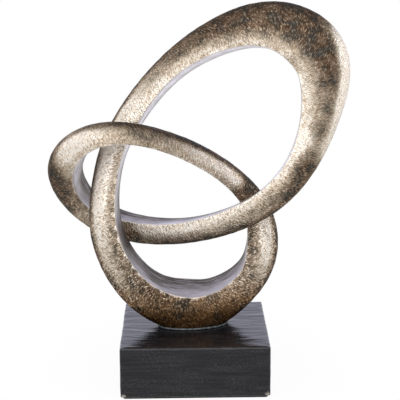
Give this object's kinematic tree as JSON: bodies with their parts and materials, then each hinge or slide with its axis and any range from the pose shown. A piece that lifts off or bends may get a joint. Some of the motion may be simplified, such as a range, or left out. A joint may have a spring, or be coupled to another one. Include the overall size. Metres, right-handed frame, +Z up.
{
  "type": "abstract knot sculpture on a block base",
  "caption": "Tabletop ornament: an endless D-section band tied as an open trefoil knot, finished in antiqued metal leaf, standing on a square black block with a felt underside.",
  "frame": {"origin": "middle of the felt's lower face, where the sculpture rests", "axes": "+Z up, -Y towards the front that the picture shows, +X to the right of that view"},
  "size_m": [0.3035, 0.15, 0.3853],
  "materials": {
    "leafed_resin": "cast resin under crackled champagne and copper metal leaf with an umber antiquing wash",
    "black_resin": "cast resin under brushed black satin paint",
    "zinc_steel": "zinc plated",
    "epoxy_bed": "cured grey epoxy",
    "felt": "pressed felt"
  },
  "bodies": {
    "root": {"lower_loop": "leafed_resin", "upper_loop": "leafed_resin", "left_loop": "leafed_resin", "right_joint_dowel": "zinc_steel", "upper_joint_dowel": "zinc_steel", "lower_joint_dowel": "zinc_steel", "foot_adhesive": "epoxy_bed", "base_block": "black_resin", "base_felt": "felt", "left_stud": "zinc_steel", "left_washer": "zinc_steel", "left_spring_washer": "zinc_steel", "left_nut": "zinc_steel", "right_stud": "zinc_steel", "right_washer": "zinc_steel", "right_spring_washer": "zinc_steel", "right_nut": "zinc_steel"}
  },
  "joints": []
}
